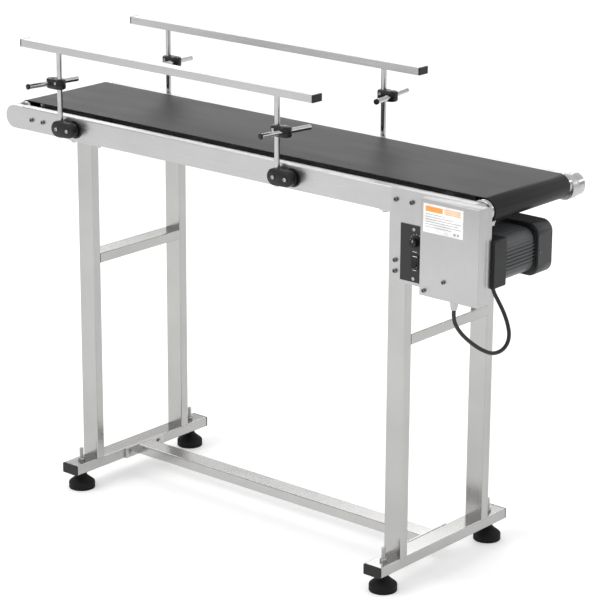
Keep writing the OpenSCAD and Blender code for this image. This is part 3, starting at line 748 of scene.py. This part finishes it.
def label_print():
    """Plain coloured bands and bars on the label, with no lettering."""
    low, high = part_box("rating_label")
    face = low[1]
    inks = {"orange": label_orange, "pale": label_pale, "grey": label_grey}
    bars = {name: bmesh.new() for name in inks}

    def bar(ink, x, z, width, height):
        """x and z run from the label's top left corner, in mm."""
        x0, z1 = low[0] + x * MM, high[2] - z * MM
        block(bars[ink], (x0, face - PRINT_T, z1 - height * MM), (x0 + width * MM, face + PRINT_SINK, z1))

    bar("orange", 6, 5, 46, 12)
    for row in range(3):
        bar("pale", 56, 5 + row * 4.4, 44, 3.2)
    for row, width in enumerate((52, 74, 96, 88, 96, 70)):
        bar("grey", 6, 22 + row * 5.6, width, 1.5)
    for column in range(2):
        bar("grey", 82 + column * 9, 54, 6, 6)
    for name, bm in bars.items():
        finish_piece("label_" + name + "_bars", bm, inks[name], "frame")


KNOB_AT = centre_of("speed_knob")
SWITCH_AT = centre_of("power_switch")


def panel_marks():
    """Ring of ticks round the knob and short bars by the switch."""
    bm = bmesh.new()
    for k in range(11):
        angle = math.radians(225 - 27 * k)
        out = 17 * MM
        dot = (0.8 + 0.05 * k) * MM
        at = (KNOB_AT.x + out * math.cos(angle), PANEL_FACE, KNOB_AT.z + out * math.sin(angle))
        loft(bm, moved(aim(at, FRONT), [ring(dot, -PRINT_SINK, 16), ring(dot, PRINT_T, 16)]))
    for z, width in ((22, 12), (-20, 10)):
        x = SWITCH_AT.x - width * MM / 2
        low = (x, PANEL_FACE - PRINT_T, SWITCH_AT.z + z * MM)
        high = (x + width * MM, PANEL_FACE + PRINT_SINK, SWITCH_AT.z + (z + 1.4) * MM)
        block(bm, low, high)
    finish_piece("panel_marks", bm, mark_white, "frame")


def speed_knob():
    low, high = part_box("speed_knob")
    flutes = lambda angle: 1 - 0.035 * (0.5 + 0.5 * math.cos(angle * 18))
    depth = 15 * MM
    rings = [ring(10.2 * MM, 0, 108), ring(10.9 * MM, 0.6 * MM, 108), ring(10.9 * MM, 2.5 * MM, 108),
             ring(10.5 * MM, 3 * MM, 108, flutes), ring(9.9 * MM, depth - 1.4 * MM, 108, flutes),
             ring(9.0 * MM, depth - 0.4 * MM, 108), ring(8.4 * MM, depth, 108),
             ring(7.6 * MM, depth, 108), ring(7.0 * MM, depth - 0.7 * MM, 108)]
    back = Vector((KNOB_AT.x, low[1] + depth, KNOB_AT.z))
    bm = bmesh.new()
    loft(bm, moved(aim(back, FRONT), rings))
    spindle = [ring(3 * MM, -(high[1] - back.y)), ring(3 * MM, 0.5 * MM)]
    loft(bm, moved(aim(back, FRONT), spindle))
    knob = finish_piece("speed_knob_grip", bm, black_plastic, "speed_knob")
    bm = bmesh.new()
    face = low[1]
    rounded_block(bm, (KNOB_AT.x - 0.6 * MM, face, KNOB_AT.z + 2 * MM),
                  (KNOB_AT.x + 0.6 * MM, face + 1.2 * MM, KNOB_AT.z + 8.3 * MM), 0.2 * MM, 2)
    line = finish_piece("speed_knob_line", bm, mark_white, "speed_knob")
    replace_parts(knob, "speed_knob")
    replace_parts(line, "speed_knob")


def power_switch():
    """Rocker with a dished face, tilted as it rests."""
    width, depth, height, tilt = 14 * MM, 8 * MM, 24 * MM, math.radians(-8)
    place = Matrix.Translation(SWITCH_AT) @ Matrix.Rotation(tilt, 4, "X")
    steps = 14
    outline = []
    for k in range(steps + 1):
        z = -height / 2 + height * k / steps
        dish = 1.2 * MM * (1 - (2 * z / height) ** 2)
        outline.append((-depth / 2 + dish, z))
    back, top = depth / 2 - 1 * MM, height / 2 - 1.5 * MM
    outline += [(back, top), (depth / 2, 0), (back, -top)]
    bm = bmesh.new()
    loft(bm, moved(place, [[Vector((x, y, z)) for y, z in outline] for x in (-width / 2, width / 2)]))
    rocker = finish_piece("power_switch_rocker", bm, black_plastic, "power_switch")
    bevel = rocker.modifiers.new("bevel", "BEVEL")
    bevel.width = 0.5 * MM
    bevel.segments = 2
    bevel.limit_method = "ANGLE"
    bevel.angle_limit = math.radians(50)
    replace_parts(rocker, "power_switch")


drive_cover()
label_print()
panel_marks()
speed_knob()
power_switch()


# ---- Motor trim ----

def square_ring(side, radius, y, centre):
    """Rounded square in a plane of constant y."""
    count = 8
    points = []
    offset = side / 2 - radius
    for corner, (sx, sz) in enumerate(((1, 1), (-1, 1), (-1, -1), (1, -1))):
        for k in range(count + 1):
            angle = math.pi / 2 * (corner + k / count)
            points.append(Vector((centre.x + sx * offset + radius * math.cos(angle), y,
                                  centre.z + sz * offset + radius * math.sin(angle))))
    return points


def motor_trim():
    """Black ring between the body and the fan cover, and the fan cover's screws."""
    fan_low, fan_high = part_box("fan_cover")
    centre = centre_of("fan_cover")
    y0, y1 = fan_low[1] - 5.8 * MM, fan_low[1] + 0.3 * MM
    rings = [square_ring(106 * MM, 26 * MM, y0, centre),
             square_ring(110 * MM, 27 * MM, y0 + 0.6 * MM, centre),
             square_ring(110 * MM, 27 * MM, y1, centre),
             square_ring(96 * MM, 25 * MM, y1, centre),
             square_ring(96 * MM, 25 * MM, y0, centre)]
    bm = bmesh.new()
    loft(bm, rings, closed=True)
    finish_piece("motor_ring", bm, black_plastic, "frame")
    bm = bmesh.new()
    for x, axis in ((fan_high[0], (1, 0, 0)), (fan_low[0], (-1, 0, 0))):
        socket_head(bm, (x, fan_low[1] + 7 * MM, centre.z - 3 * MM), axis, 3 * MM, 1.2 * MM)
    finish_piece("fan_cover_screws", bm, dark_steel, "frame")


motor_trim()


# ---- Floor and light ----

def floor():
    bm = bmesh.new()
    bmesh.ops.create_grid(bm, x_segments=1, y_segments=1, size=30)
    mesh = bpy.data.meshes.new("floor")
    bm.to_mesh(mesh)
    bm.free()
    plane = bpy.data.objects.new("floor", mesh)
    bpy.context.scene.collection.objects.link(plane)
    s = Shader("floor", (0.93, 0.93, 0.93), roughness=0.9)
    s.tint(s.noise(0.5), (0.925, 0.925, 0.925), (0.935, 0.935, 0.935))
    s.set("Emission Color", (1, 1, 1, 1))
    s.set("Emission Strength", 0.22)
    mesh.materials.append(s.material)


def area_light(name, at, target, size, power):
    data = bpy.data.lights.new(name, "AREA")
    data.shape = "RECTANGLE"
    data.size, data.size_y = size
    data.energy = power
    lamp = bpy.data.objects.new(name, data)
    lamp.location = at
    lamp.rotation_euler = (Vector(target) - Vector(at)).to_track_quat("-Z", "Y").to_euler()
    bpy.context.scene.collection.objects.link(lamp)


def sky():
    """Even studio surround: bright overhead, greyer towards the horizon."""
    world = bpy.data.worlds.new("studio")
    bpy.context.scene.world = world
    world.use_nodes = True
    tree = world.node_tree
    place = tree.nodes.new("ShaderNodeTexCoord").outputs["Generated"]
    split = tree.nodes.new("ShaderNodeSeparateXYZ")
    ramp = tree.nodes.new("ShaderNodeValToRGB")
    ramp.color_ramp.elements[0].position = 0.0
    ramp.color_ramp.elements[0].color = (0.62, 0.62, 0.62, 1)
    ramp.color_ramp.elements[1].position = 0.55
    ramp.color_ramp.elements[1].color = (1, 1, 1, 1)
    tree.links.new(place, split.inputs[0])
    tree.links.new(split.outputs["Z"], ramp.inputs["Fac"])
    tree.links.new(ramp.outputs["Color"], tree.nodes["Background"].inputs["Color"])
    tree.nodes["Background"].inputs["Strength"].default_value = 0.9


floor()
sky()
area_light("key", (-1.5, -4.0, 4.2), (0, 0, 0.6), (2.5, 2.0), 90)
area_light("fill", (2.9, 2.6, 2.1), (0.6, 0, 0.9), (3.0, 0.5), 10)
area_light("back", (-2.0, 2.35, 1.95), (0, 0, 1.0), (3.2, 0.75), 17)
